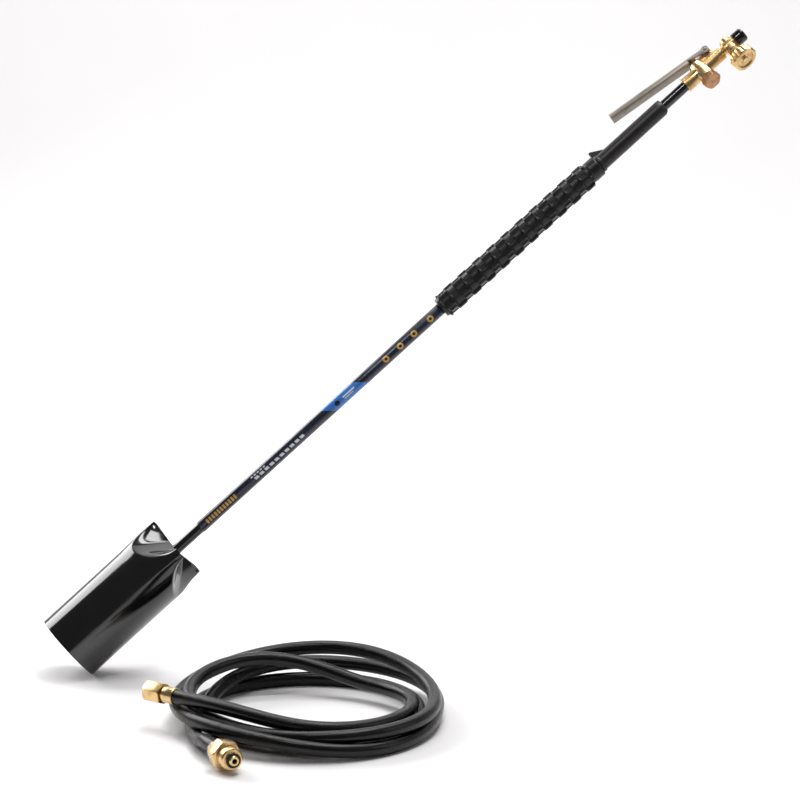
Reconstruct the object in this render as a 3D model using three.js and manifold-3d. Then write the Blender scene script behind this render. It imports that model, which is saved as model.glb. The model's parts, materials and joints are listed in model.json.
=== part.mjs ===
// Propane torch with a long wand, a squeeze valve, a needle valve and a coiled gas hose.
// Millimetres, +Z up. The origin is the point under the rubber grip that rests on a support.
// The wand is built along its own +X, from the bell mouth up, with its lever on +Z.
import * as THREE from 'three';
import { mergeVertices } from 'three/addons/utils/BufferGeometryUtils.js';
import Module from 'manifold-3d';

const wasm = await Module();
wasm.setup();

// ---- Driving dimensions ----------------------------------------------------------------
const GAP = 0.3;                  // clearance between pieces that touch on the real torch
const LEAN = 40.8;                // degrees between the wand and the floor
const ROLL = 55;                  // degrees that the lever leans back from straight up
const REST_ALONG_GRIP = 59;       // from the grip's lower end to the resting point

const BELL_DIAMETER = 74.6;
const BELL_LENGTH = 150;
const BELL_WALL = 1.3;
const CRIMP_DEPTH = 33;           // from the back edge to the fold at a tongue's middle
const EAR_DEPTH = 3;              // from the back edge to the fold at an ear's middle
const TONGUE_WIDTH = 16;          // flat that grips the gas tube
const EAR_FLARE = 3;              // how far an ear's tip stands out past the bell
const EAR_OVERHANG = 3;           // how far an ear's tip reaches past the tongues
const EAR_ANGLE = 17;             // degrees from the lever side to the first ear
const EAR_HALF_ANGLE = 9.5;       // half of an ear's blunt tip, seen along the bell

const TUBE_DIAMETER = 11.1;
const TUBE_WALL = 1.5;
const TUBE_INSIDE_BELL = 42;      // length of gas tube in front of the bell's back edge
const JET_DIAMETER = 9.6;
const JET_HEAD = 9;
const JET_SHANK = 10;
const JET_ORIFICE = 1.2;

const BARE_FRONT = 34;            // gas tube seen between the bell and the printed sleeve
const LABEL_LENGTH = 337;
const LABEL_WALL = 0.5;
const GRIP_LENGTH = 222;
const GRIP_DIAMETER = 27;
const GRIP_GROOVE = 2;            // depth of the grooves between the grip's raised blocks
const GRIP_COLLAR = 8;            // length of the plain collar at each end of the grip
const HANDLE_LENGTH = 91;
const HANDLE_DIAMETER = 17.4;
const HORN_REACH = 18;            // thumb horn's tip, from the wand's axis
const HORN_LENGTH = 15;
const HORN_WIDTH = 7;
const BARE_REAR = 31;             // gas tube seen between the handle and the valve

const SOCKET_DIAMETER = 15.6;
const SOCKET_LENGTH = 14;
const SOCKET_DEPTH = 10;          // how far the gas tube enters the valve
const CROSS_DIAMETER = 18;        // boss that holds the squeeze valve
const CROSS_TOP = 10.5;             // boss's lever-side face, from the wand's axis
const CROSS_BOTTOM = 12.4;          // boss's plug-side face, from the wand's axis
const BODY_DIAMETER = 14.2;
const BODY_LENGTH = 20.5;
const NECK_DIAMETER = 9.5;
const NECK_LENGTH = 2.6;
const GAS_BORE = 5;

const PLUNGER_DIAMETER = 5;
const PLUNGER_FLANGE = 9;
const PLUNGER_FLANGE_THICKNESS = 2;
const SPRING_WIRE = 1;
const SPRING_TURNS = 4;
const CHAMBER_DIAMETER = 12;      // bore for the spring, closed by the hex plug
const SEAT_HEIGHT = 3.6;          // chamber roof below the wand's axis
const PLUG_ACROSS = 17.2;         // hex plug, across flats
const PLUG_FACE = 20.6;           // outer face of the hex plug, from the wand's axis

const PIVOT_BEHIND_STEM = 19;     // lever pin, measured along the wand from the plunger
const PIVOT_HEIGHT = 15.2;          // lever pin, from the wand's axis
const PIN_DIAMETER = 3.2;
const FIN_THICKNESS = 5.6;
const FIN_WINDOW_LENGTH = 6;
const FIN_WINDOW_HEIGHT = 2.2;
const LEVER_LENGTH = 121;         // pin to free end
const LEVER_OPEN_ANGLE = 8.9;     // degrees between the released lever and the wand
const LEVER_WIDTH = 11.2;
const LEVER_DEPTH = 7.5;
const CHEEK_LENGTH = 22;          // from the pin back to the full-depth finger bar
const CHEEK_THICKNESS = 2;
const CHEEK_RADIUS = 4.2;         // round end of the cheeks about the pin
const WEB_THICKNESS = 2;          // roof between the cheeks, which presses the plunger

const BLOCK_LENGTH = 14.5;        // needle valve body along the wand
const BLOCK_DIAMETER = 14;
const DOME_RADIUS = 6.6;
const DOME_HEIGHT = 10.8;           // top of the domed boss, from the wand's axis
const BONNET_ACROSS = 12;         // packing nut, across flats
const BONNET_LENGTH = 6;
const STEM_DIAMETER = 4;
const KNOB_DIAMETER = 27.5;
const KNOB_THICKNESS = 10;
const KNOB_FACE = 28.5;           // outer face of the knob, from the wand's axis
const KNOB_SCALLOPS = 12;
const KNOB_SCALLOP_DEPTH = 1.1;
const KNOB_RECESS_DIAMETER = 20;
const KNOB_RECESS_DEPTH = 2;
const SCREW_HEAD = 6.4;

const INLET_DIAMETER = 12.6;      // threaded inlet that the hose nut screws on
const INLET_LENGTH = 10.5;
const CAP_WALL = 1.1;
const CAP_LENGTH = 12.5;

const HOSE_DIAMETER = 14;
const HOSE_BORE = 8;
const COIL_RADIUS = 133;          // outside of the coil, at its left and right
const COIL_STRETCH = 1.05;        // how much longer the coil is from front to back
const COIL_LAYERS = 2;            // full layers under the loose top turn
const COIL_BAND = 40;             // width of the coil's ring, seen from above
const COIL_CENTRE_X = -235;
const COIL_CENTRE_Y = -214;
const FERRULE_DIAMETER = 16.4;
const FERRULE_LENGTH = 14;
const SWIVEL_ACROSS = 19;         // hose nut at the wand end, across flats
const SWIVEL_LENGTH = 20;
const TANK_NUT_ACROSS = 26;       // hose nut at the cylinder end, across flats
const TANK_NUT_LENGTH = 14;
const TANK_THREAD_DIAMETER = 22;
const TANK_THREAD_LENGTH = 13;
const NOSE_DIAMETER = 15;
const NOSE_REACH = 5;             // how far the sealing nose stands past the thread
const NOSE_HOLE = 5;

// ---- Places worked out from the dimensions ----------------------------------------------
const labelStart = BELL_LENGTH + BARE_FRONT;
const gripStart = labelStart + LABEL_LENGTH;
const handleStart = gripStart + GRIP_LENGTH;
const handleEnd = handleStart + HANDLE_LENGTH;
const valveStart = handleEnd + BARE_REAR;
const tubeEnd = valveStart + SOCKET_DEPTH;
const stemAt = valveStart + SOCKET_LENGTH + CROSS_DIAMETER / 2;
const bodyEnd = stemAt + CROSS_DIAMETER / 2 + BODY_LENGTH;
const blockStart = bodyEnd + NECK_LENGTH;
const needleAt = blockStart + BLOCK_LENGTH / 2;
const blockEnd = blockStart + BLOCK_LENGTH;
const pivotAt = stemAt + PIVOT_BEHIND_STEM;
const tubeRadius = TUBE_DIAMETER / 2;
const bellRadius = BELL_DIAMETER / 2;
const tongueRadius = tubeRadius + GAP + BELL_WALL;
const lean = THREE.MathUtils.degToRad(LEAN);
const roll = THREE.MathUtils.degToRad(ROLL);
const leverAngle = THREE.MathUtils.degToRad(LEVER_OPEN_ANGLE);
const restAt = gripStart + REST_ALONG_GRIP;

// ---- Materials -------------------------------------------------------------------------
const paint = (color, roughness, metalness) =>
  new THREE.MeshStandardMaterial({ color, roughness, metalness });
const blackPaint = paint(0x15151a, 0.25, 0.2);
const printedSleeve = paint(0x1b2033, 0.35, 0.0);
const blackRubber = paint(0x1c1c1e, 0.75, 0.0);
const darkPlastic = paint(0x2a2326, 0.45, 0.0);
const glossPlastic = paint(0x101013, 0.2, 0.0);
const brass = paint(0xd8b162, 0.25, 1.0);
const copperBrass = paint(0xc79a6a, 0.35, 1.0);
const nickel = paint(0xb8aca0, 0.4, 0.9);
const steel = paint(0x8c8c90, 0.35, 1.0);
const sealRubber = paint(0x111111, 0.6, 0.0);

// ---- Geometry helpers ------------------------------------------------------------------
/** Shared vertices only, no flat triangles, and faces that point outward. */
function tidy(geometry) {
  const bare = geometry.clone();
  bare.deleteAttribute('normal');
  bare.deleteAttribute('uv');
  const merged = mergeVertices(bare, 1e-4);
  const index = merged.index.array;
  const kept = [];
  for (let i = 0; i < index.length; i += 3) {
    const [a, b, c] = [index[i], index[i + 1], index[i + 2]];
    if (a !== b && b !== c && c !== a) kept.push(a, b, c);
  }
  if (signedVolume(merged.attributes.position, kept) < 0) kept.reverse();
  merged.setIndex(kept);
  return merged;
}

function signedVolume(position, index) {
  const [a, b, c] = [new THREE.Vector3(), new THREE.Vector3(), new THREE.Vector3()];
  let sum = 0;
  for (let i = 0; i < index.length; i += 3) {
    a.fromBufferAttribute(position, index[i]);
    b.fromBufferAttribute(position, index[i + 1]);
    c.fromBufferAttribute(position, index[i + 2]);
    sum += a.dot(b.cross(c));
  }
  return sum / 6;
}

function toSolid(geometry) {
  const clean = tidy(geometry);
  return new wasm.Manifold(new wasm.Mesh({
    numProp: 3,
    vertProperties: Float32Array.from(clean.attributes.position.array),
    triVerts: Uint32Array.from(clean.index.array),
  }));
}

function fromSolid(solid) {
  const { vertProperties, triVerts } = solid.getMesh();
  const geometry = new THREE.BufferGeometry();
  geometry.setAttribute('position', new THREE.BufferAttribute(vertProperties, 3));
  geometry.setIndex(new THREE.BufferAttribute(triVerts, 1));
  return geometry;
}

/** Joins the first list of geometries and cuts the second list from the result. */
function combine(joined, cuts = []) {
  let solid = toSolid(joined[0]);
  for (const piece of joined.slice(1)) solid = solid.add(toSolid(piece));
  for (const piece of cuts) solid = solid.subtract(toSolid(piece));
  return fromSolid(solid);
}

function intersect(first, second) {
  return fromSolid(toSolid(first).intersect(toSolid(second)));
}

/** Turns a profile of [along, radius] points round the X axis. */
function turned(profile, segments = 32) {
  const points = profile.map(([along, radius]) => new THREE.Vector2(radius, along));
  return new THREE.LatheGeometry(points, segments).rotateZ(-Math.PI / 2);
}

/** Turns a profile of [height, radius] points round the Z axis, moved to a place along X. */
function turnedUp(profile, along, segments = 32) {
  const points = profile.map(([height, radius]) => new THREE.Vector2(radius, height));
  return new THREE.LatheGeometry(points, segments).rotateX(Math.PI / 2).translate(along, 0, 0);
}

/** Profile of a solid round bar between two places. */
const bar = (from, to, radius) => [[from, 0], [from, radius], [to, radius], [to, 0]];

/** Profile of a ring or sleeve between two places. */
const ring = (from, to, inner, outer) =>
  [[from, inner], [from, outer], [to, outer], [to, inner], [from, inner]];

/** Hexagonal prism along +Z from a height, chamfered at both ends. */
function hexagon(across, from, to, chamfer = 0.8) {
  const corner = across / Math.sqrt(3);
  const shape = new THREE.Shape();
  for (let i = 0; i < 6; i += 1) {
    const angle = (i * Math.PI) / 3;
    const [x, y] = [corner * Math.cos(angle), corner * Math.sin(angle)];
    if (i === 0) shape.moveTo(x, y);
    else shape.lineTo(x, y);
  }
  shape.closePath();
  const prism = new THREE.ExtrudeGeometry(shape, { depth: to - from, bevelEnabled: false });
  const rim = corner + 0.05;
  const cone = turnedUp([[from, 0], [from, rim - chamfer], [from + chamfer, rim],
    [to - chamfer, rim], [to, rim - chamfer], [to, 0]], 0, 36);
  return intersect(prism.translate(0, 0, from), cone);
}

function piece(name, geometry, material) {
  const mesh = new THREE.Mesh(tidy(geometry), material);
  mesh.name = name;
  return mesh;
}

// ---- Bell ------------------------------------------------------------------------------
/** One sixth of the folded back edge: half a tongue, one ear wall and half its blunt tip. */
function foldedSixth(samples) {
  const tip = bellRadius + EAR_FLARE;
  const ear = Math.PI / 3;
  const tipStart = ear - THREE.MathUtils.degToRad(EAR_HALF_ANGLE);
  const path = new THREE.CurvePath();
  const corner = new THREE.Vector2(tongueRadius, TONGUE_WIDTH / 2);
  const shoulder = new THREE.Vector2(tip * Math.cos(tipStart), tip * Math.sin(tipStart));
  path.add(new THREE.LineCurve(new THREE.Vector2(tongueRadius, 0), corner));
  path.add(new THREE.LineCurve(corner, shoulder));
  path.add(new THREE.EllipseCurve(0, 0, tip, tip, tipStart, ear));
  return path.getSpacedPoints(samples);
}

/** Six mirrored sixths of the bell's outline: each sample's place, from 0 at a tongue to 1. */
function outlineSamples(samples = 10) {
  const places = [];
  for (let side = 0; side < 6; side += 1) {
    const mirrored = side % 2 === 1;
    const turn = (Math.ceil(side / 2) * 2 * Math.PI) / 3;
    for (let i = 0; i < samples; i += 1) {
      const step = mirrored ? samples - i : i;
      places.push({ step, share: step / samples, mirrored, turn });
    }
  }
  return places;
}

/** Outline of the bell at a fold of 0 (round) to 1 (three tongues and three ears). */
function bellOutline(fold, samples = 10) {
  const sixth = foldedSixth(samples);
  return outlineSamples(samples).map(({ step, share, mirrored, turn }) => {
    const angle = share * (Math.PI / 3) * (mirrored ? -1 : 1) + turn;
    const folded = sixth[step].clone();
    if (mirrored) folded.y = -folded.y;
    folded.rotateAround(new THREE.Vector2(), turn);
    const round = new THREE.Vector2(Math.cos(angle), Math.sin(angle)).multiplyScalar(bellRadius);
    return round.lerp(folded, fold);
  });
}

/** The outline moved inward by the sheet's thickness. */
function inset(outline, distance) {
  return outline.map((point, i) => {
    const before = outline[(i + outline.length - 1) % outline.length];
    const after = outline[(i + 1) % outline.length];
    const tangent = after.clone().sub(before).normalize();
    return point.clone().add(new THREE.Vector2(-tangent.y, tangent.x).multiplyScalar(distance));
  });
}

/** The bell's sheet: straight to the fold line of each sample, then folded to the back edge. */
function bellGeometry() {
  const steps = 9;
  const folds = [{ reach: 0, fold: 0 }];
  for (let i = 0; i <= steps; i += 1) folds.push({ reach: 1, fold: i / steps });
  const outer = folds.map((row) => ({ ...row, outline: bellOutline(row.fold) }));
  const inner = [...outer].reverse()
    .map((row) => ({ ...row, outline: inset(row.outline, BELL_WALL) }));
  const loops = [...outer, ...inner];
  const creases = outlineSamples().map(({ share }) =>
    BELL_LENGTH - EAR_DEPTH - (CRIMP_DEPTH - EAR_DEPTH) * (1 - share * share));
  const count = creases.length;
  const positions = [];
  for (const { reach, fold, outline } of loops) {
    outline.forEach((point, i) => {
      const along = reach * creases[i] + fold * (BELL_LENGTH - creases[i]);
      const outward = Math.max(0, point.length() - tongueRadius) / bellRadius;
      positions.push(along + EAR_OVERHANG * fold * outward, point.x, point.y);
    });
  }
  const index = [];
  for (let row = 0; row < loops.length; row += 1) {
    const next = (row + 1) % loops.length;
    for (let i = 0; i < count; i += 1) {
      const j = (i + 1) % count;
      const [a, b] = [row * count + i, row * count + j];
      const [c, d] = [next * count + j, next * count + i];
      index.push(a, b, c, a, c, d);
    }
  }
  const geometry = new THREE.BufferGeometry();
  geometry.setAttribute('position', new THREE.Float32BufferAttribute(positions, 3));
  geometry.setIndex(index);
  return geometry;
}

/** The bell, turned so that its first ear is EAR_ANGLE from the lever side. */
function flameBell() {
  const firstEar = Math.PI / 3;
  const wanted = Math.PI / 2 + THREE.MathUtils.degToRad(EAR_ANGLE);
  return piece('flame_bell', bellGeometry().rotateX(wanted - firstEar), blackPaint);
}

function burnerJet() {
  const tubeFront = BELL_LENGTH - TUBE_INSIDE_BELL;
  const shank = tubeRadius - TUBE_WALL - GAP;
  const head = JET_DIAMETER / 2;
  const hole = JET_ORIFICE / 2;
  const front = tubeFront - GAP - JET_HEAD;
  const profile = [[front, hole], [front, head - 1.5], [front + 1.5, head],
    [tubeFront - GAP, head], [tubeFront - GAP, shank], [tubeFront + JET_SHANK, shank],
    [tubeFront + JET_SHANK, hole], [front, hole]];
  return piece('burner_jet', turned(profile, 24), brass);
}

// ---- Tube, printed sleeve, grip and handle ---------------------------------------------
function gasTube() {
  const profile = ring(BELL_LENGTH - TUBE_INSIDE_BELL, tubeEnd, tubeRadius - TUBE_WALL, tubeRadius);
  return piece('gas_tube', turned(profile, 32), blackPaint);
}

function labelSleeve() {
  const inner = tubeRadius + GAP;
  const profile = ring(labelStart, gripStart - GAP, inner, inner + LABEL_WALL);
  return piece('label_sleeve', turned(profile, 32), printedSleeve);
}

function rubberGrip() {
  const inner = tubeRadius + GAP;
  const outer = GRIP_DIAMETER / 2;
  const low = outer - GRIP_GROOVE;
  const start = gripStart;
  const end = handleStart - GAP;
  const profile = [[start, inner], [start, low], [start + 1, outer],
    [start + GRIP_COLLAR, outer], [start + GRIP_COLLAR, low],
    [end - GRIP_COLLAR, low], [end - GRIP_COLLAR, outer],
    [end - 1, outer], [end, low], [end, inner], [start, inner]];
  return piece('rubber_grip', turned(profile, 32), blackRubber);
}

/** Thumb horn: a fin on the lever side that falls back to the handle's surface. */
function horn() {
  const root = tubeRadius + GAP + 1;
  const surface = HANDLE_DIAMETER / 2 - 0.4;
  const shape = new THREE.Shape();
  shape.moveTo(handleStart, root);
  shape.lineTo(handleStart, HORN_REACH - 1.5);
  shape.quadraticCurveTo(handleStart, HORN_REACH, handleStart + 1.5, HORN_REACH);
  shape.quadraticCurveTo(handleStart + HORN_LENGTH * 0.5, HORN_REACH * 0.72,
    handleStart + HORN_LENGTH, surface);
  shape.lineTo(handleStart + HORN_LENGTH, root);
  shape.closePath();
  const fin = new THREE.ExtrudeGeometry(shape,
    { depth: HORN_WIDTH, bevelEnabled: false, curveSegments: 6 });
  return fin.translate(0, 0, -HORN_WIDTH / 2).rotateX(Math.PI / 2);
}

function handleSleeve() {
  const inner = tubeRadius + GAP;
  const outer = HANDLE_DIAMETER / 2;
  const profile = [[handleStart, inner], [handleStart, outer + 1], [handleStart + 3, outer + 1],
    [handleStart + 4, outer], [handleEnd - 2, outer], [handleEnd, outer - 1.5],
    [handleEnd, inner], [handleStart, inner]];
  return piece('handle_sleeve', combine([turned(profile, 32), horn()]), darkPlastic);
}

// ---- Squeeze valve ---------------------------------------------------------------------
/** Upright fin on the lever side of the body, with a window in it: carries the lever pin. */
function valveFin() {
  const low = BODY_DIAMETER / 2 - 1.5;
  const front = stemAt + PLUNGER_DIAMETER / 2 + 2;
  const back = pivotAt + 5;
  const crown = 3.6;
  const shape = new THREE.Shape();
  shape.moveTo(front, low);
  shape.lineTo(front, CROSS_TOP + 0.5);
  shape.lineTo(pivotAt - crown, PIVOT_HEIGHT);
  shape.absarc(pivotAt, PIVOT_HEIGHT, crown, Math.PI, 0, true);
  shape.lineTo(back, BODY_DIAMETER / 2);
  shape.lineTo(back, low);
  shape.closePath();
  const fin = new THREE.ExtrudeGeometry(shape,
    { depth: FIN_THICKNESS, bevelEnabled: false, curveSegments: 8 });
  return fin.translate(0, 0, -FIN_THICKNESS / 2).rotateX(Math.PI / 2);
}

function finWindow() {
  const start = stemAt + PLUNGER_DIAMETER / 2 + 4;
  const bottom = CROSS_TOP - 0.8;
  return new THREE.BoxGeometry(FIN_WINDOW_LENGTH, FIN_THICKNESS + 2, FIN_WINDOW_HEIGHT)
    .translate(start + FIN_WINDOW_LENGTH / 2, 0, bottom + FIN_WINDOW_HEIGHT / 2);
}

/** Round pin hole or pin along Y through the lever's pivot. */
function pivotBar(radius, length, along = pivotAt, height = PIVOT_HEIGHT) {
  const cylinder = new THREE.CylinderGeometry(radius, radius, length, 20);
  return cylinder.translate(along, 0, height);
}

function squeezeValveBody() {
  const socket = turned([[valveStart, 0], [valveStart, SOCKET_DIAMETER / 2 + 0.5],
    [valveStart + 1.2, SOCKET_DIAMETER / 2 + 0.5], [valveStart + 1.6, SOCKET_DIAMETER / 2],
    [stemAt, SOCKET_DIAMETER / 2], [stemAt, 0]]);
  const body = turned([[stemAt, 0], [stemAt, BODY_DIAMETER / 2],
    [bodyEnd - 1, BODY_DIAMETER / 2], [bodyEnd, BODY_DIAMETER / 2 - 1], [bodyEnd, 0]]);
  const boss = turnedUp([[-CROSS_BOTTOM, 0], [-CROSS_BOTTOM, CROSS_DIAMETER / 2],
    [CROSS_TOP - 2, CROSS_DIAMETER / 2], [CROSS_TOP, CROSS_DIAMETER / 2 - 3],
    [CROSS_TOP, 0]], stemAt);
  const tubeBore = turned(bar(valveStart - 1, tubeEnd + GAP, tubeRadius + GAP));
  const gasBore = turned(bar(tubeEnd - 1, bodyEnd + 1, GAS_BORE / 2), 20);
  const chamber = turnedUp(bar(-CROSS_BOTTOM - 1, -SEAT_HEIGHT, CHAMBER_DIAMETER / 2), stemAt);
  const guide = turnedUp(bar(-CROSS_BOTTOM, CROSS_TOP + 1, PLUNGER_DIAMETER / 2 + GAP), stemAt, 20);
  const pinHole = pivotBar(PIN_DIAMETER / 2 + GAP, FIN_THICKNESS + 2);
  const solid = combine([socket, body, boss, valveFin()],
    [tubeBore, gasBore, chamber, guide, pinHole, finWindow()]);
  return piece('squeeze_valve_body', solid, brass);
}

/** Height of the released lever's roof above the wand's axis, over the plunger. */
function leverRoof() {
  const rise = PIVOT_BEHIND_STEM * Math.tan(leverAngle);
  return PIVOT_HEIGHT + rise + (LEVER_DEPTH / 2 - WEB_THICKNESS) / Math.cos(leverAngle);
}

function plunger() {
  const flangeTop = -SEAT_HEIGHT - GAP - 1.2;
  const head = leverRoof() - 0.9;
  const shaft = PLUNGER_DIAMETER / 2;
  const flange = PLUNGER_FLANGE / 2;
  const profile = [[flangeTop - PLUNGER_FLANGE_THICKNESS, 0],
    [flangeTop - PLUNGER_FLANGE_THICKNESS, flange], [flangeTop, flange], [flangeTop, shaft],
    [head - 1, shaft], [head, shaft - 1], [head, 0]];
  return piece('plunger', turnedUp(profile, stemAt, 24), brass);
}

/** Rubber washer between the plunger's flange and the chamber roof. */
function plungerSeal() {
  const top = -SEAT_HEIGHT - GAP / 2;
  const profile = ring(top - 1.1, top - 0.1, PLUNGER_DIAMETER / 2 + 0.15, PLUNGER_FLANGE / 2 + 0.3);
  return piece('plunger_seal', turnedUp(profile, stemAt, 24), sealRubber);
}

function plungerSpring() {
  const top = -SEAT_HEIGHT - 1.2 - 2 * GAP - PLUNGER_FLANGE_THICKNESS - SPRING_WIRE / 2;
  const bottom = -PLUG_FACE + 3 + GAP + SPRING_WIRE / 2;
  const radius = PLUNGER_FLANGE / 2 - 0.8;
  const points = [];
  for (let i = 0; i <= SPRING_TURNS * 12; i += 1) {
    const turn = (i / 12) * 2 * Math.PI;
    const share = i / (SPRING_TURNS * 12);
    points.push(new THREE.Vector3(stemAt + radius * Math.cos(turn), radius * Math.sin(turn),
      bottom + (top - bottom) * share));
  }
  const wire = new THREE.Shape().absarc(0, 0, SPRING_WIRE / 2, 0, 2 * Math.PI);
  const spring = new THREE.ExtrudeGeometry(wire, {
    extrudePath: new THREE.CatmullRomCurve3(points), steps: SPRING_TURNS * 12, curveSegments: 4,
  });
  return piece('plunger_spring', spring, steel);
}

function hexPlug() {
  const shoulder = -CROSS_BOTTOM - GAP;
  const head = hexagon(PLUG_ACROSS, -PLUG_FACE, shoulder, 1).translate(stemAt, 0, 0);
  const threadRadius = CHAMBER_DIAMETER / 2 - GAP;
  const thread = turnedUp(bar(shoulder - 1, shoulder + 2.5, threadRadius), stemAt);
  const pocket = turnedUp(bar(-PLUG_FACE + 3, 0, PLUNGER_FLANGE / 2 + 0.3), stemAt);
  return piece('hex_plug', combine([head, thread], [pocket]), copperBrass);
}

// ---- Lever -----------------------------------------------------------------------------
/** Moves a geometry built about the lever pin to its place on the released lever. */
function aboutPin(geometry) {
  return geometry.rotateY(leverAngle).translate(pivotAt, 0, PIVOT_HEIGHT);
}

/** Rounded finger bar whose valve end is a channel: two cheeks with a hole, and a roof. */
function lever() {
  const [half, depth] = [LEVER_WIDTH / 2, LEVER_DEPTH / 2];
  const round = 2.6;
  const section = new THREE.Shape();
  section.moveTo(-depth, -half + round);
  section.quadraticCurveTo(-depth, -half, -depth + round, -half);
  section.lineTo(depth - round, -half);
  section.quadraticCurveTo(depth, -half, depth, -half + round);
  section.lineTo(depth, half - round);
  section.quadraticCurveTo(depth, half, depth - round, half);
  section.lineTo(-depth + round, half);
  section.quadraticCurveTo(-depth, half, -depth, half - round);
  const fingerBar = new THREE.ExtrudeGeometry(section,
    { depth: LEVER_LENGTH, bevelEnabled: false, curveSegments: 4 }).rotateY(-Math.PI / 2);
  const end = pivotBar(CHEEK_RADIUS, LEVER_WIDTH, 0, 0);
  const gapWidth = LEVER_WIDTH - 2 * CHEEK_THICKNESS;
  const channelStart = -PIVOT_BEHIND_STEM - PLUNGER_DIAMETER / 2 - 1;
  const roofEnd = -PIVOT_BEHIND_STEM + PLUNGER_DIAMETER / 2 + 3;
  const openEnd = CHEEK_RADIUS + 1;
  const tall = 2 * CHEEK_RADIUS + 4;
  const underRoof = new THREE.BoxGeometry(openEnd - channelStart, gapWidth, tall)
    .translate((openEnd + channelStart) / 2, 0, depth - WEB_THICKNESS - tall / 2);
  const throughSlot = new THREE.BoxGeometry(openEnd - roofEnd, gapWidth, tall)
    .translate((openEnd + roofEnd) / 2, 0, 0);
  const wedge = new THREE.Shape();
  wedge.moveTo(-CHEEK_LENGTH, -depth - 1);
  wedge.lineTo(-CHEEK_LENGTH, depth - WEB_THICKNESS - 1);
  wedge.lineTo(-2, -CHEEK_RADIUS);
  wedge.lineTo(-2, -depth - 1);
  wedge.closePath();
  const underCut = new THREE.ExtrudeGeometry(wedge, { depth: LEVER_WIDTH + 2, bevelEnabled: false })
    .translate(0, 0, -LEVER_WIDTH / 2 - 1).rotateX(Math.PI / 2);
  const hole = pivotBar(PIN_DIAMETER / 2 + GAP, LEVER_WIDTH + 2, 0, 0);
  const solid = combine([fingerBar, end], [underRoof, throughSlot, underCut, hole]);
  return piece('lever', aboutPin(solid), nickel);
}

function leverPin() {
  return piece('lever_pin', pivotBar(PIN_DIAMETER / 2, LEVER_WIDTH + 1.6), steel);
}

// ---- Needle valve, knob and inlet ------------------------------------------------------
function needleValveBody() {
  const spigot = turned(bar(bodyEnd + GAP, blockStart + 1, NECK_DIAMETER / 2), 28);
  const block = turned([[blockStart, 0], [blockStart, BLOCK_DIAMETER / 2 - 1],
    [blockStart + 1, BLOCK_DIAMETER / 2], [blockEnd - 1, BLOCK_DIAMETER / 2],
    [blockEnd, BLOCK_DIAMETER / 2 - 1], [blockEnd, 0]]);
  const bossRadius = BLOCK_LENGTH / 2 - 0.6;
  const packingSide = turnedUp(bar(-BLOCK_DIAMETER / 2 - 1.5, 0, bossRadius), needleAt, 28);
  const dome = turnedUp([[0, 0], [0, DOME_RADIUS], [DOME_HEIGHT - 2.5, DOME_RADIUS],
    [DOME_HEIGHT - 0.8, DOME_RADIUS - 1.4], [DOME_HEIGHT, DOME_RADIUS - 3.6],
    [DOME_HEIGHT, 0]], needleAt, 28);
  const inletEnd = blockEnd + INLET_LENGTH;
  const inlet = turned([[blockEnd - 1, 0], [blockEnd - 1, INLET_DIAMETER / 2],
    [inletEnd - 1, INLET_DIAMETER / 2], [inletEnd, INLET_DIAMETER / 2 - 1], [inletEnd, 0]]);
  const gasBore = turned(bar(bodyEnd - 1, inletEnd + 1, GAS_BORE / 2), 20);
  const flare = turned([[inletEnd - 2, 0], [inletEnd - 2, GAS_BORE / 2],
    [inletEnd + 1, GAS_BORE / 2 + 2.4], [inletEnd + 1, 0]], 24);
  const stemBore = turnedUp(bar(-BLOCK_DIAMETER - 4, 1.5, STEM_DIAMETER / 2 + GAP), needleAt, 20);
  const solid = combine([block, spigot, packingSide, dome, inlet], [gasBore, flare, stemBore]);
  return piece('needle_valve_body', solid, brass);
}

const bonnetTop = -BLOCK_DIAMETER / 2 - 1.5 - GAP;
const bonnetFace = bonnetTop - BONNET_LENGTH;
const knobBack = -KNOB_FACE + KNOB_THICKNESS;

function packingNut() {
  const nut = hexagon(BONNET_ACROSS, bonnetFace, bonnetTop, 0.7).translate(needleAt, 0, 0);
  const bore = turnedUp(bar(bonnetFace - 1, bonnetTop + 1, STEM_DIAMETER / 2 + GAP), needleAt, 20);
  return piece('packing_nut', combine([nut], [bore]), brass);
}

function needleStem() {
  const radius = STEM_DIAMETER / 2;
  const end = knobBack - 3;
  const profile = [[end, 0], [end, radius], [-GAP, radius], [1, 0.4], [1, 0]];
  return piece('needle_stem', turnedUp(profile, needleAt, 20), steel);
}

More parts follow.
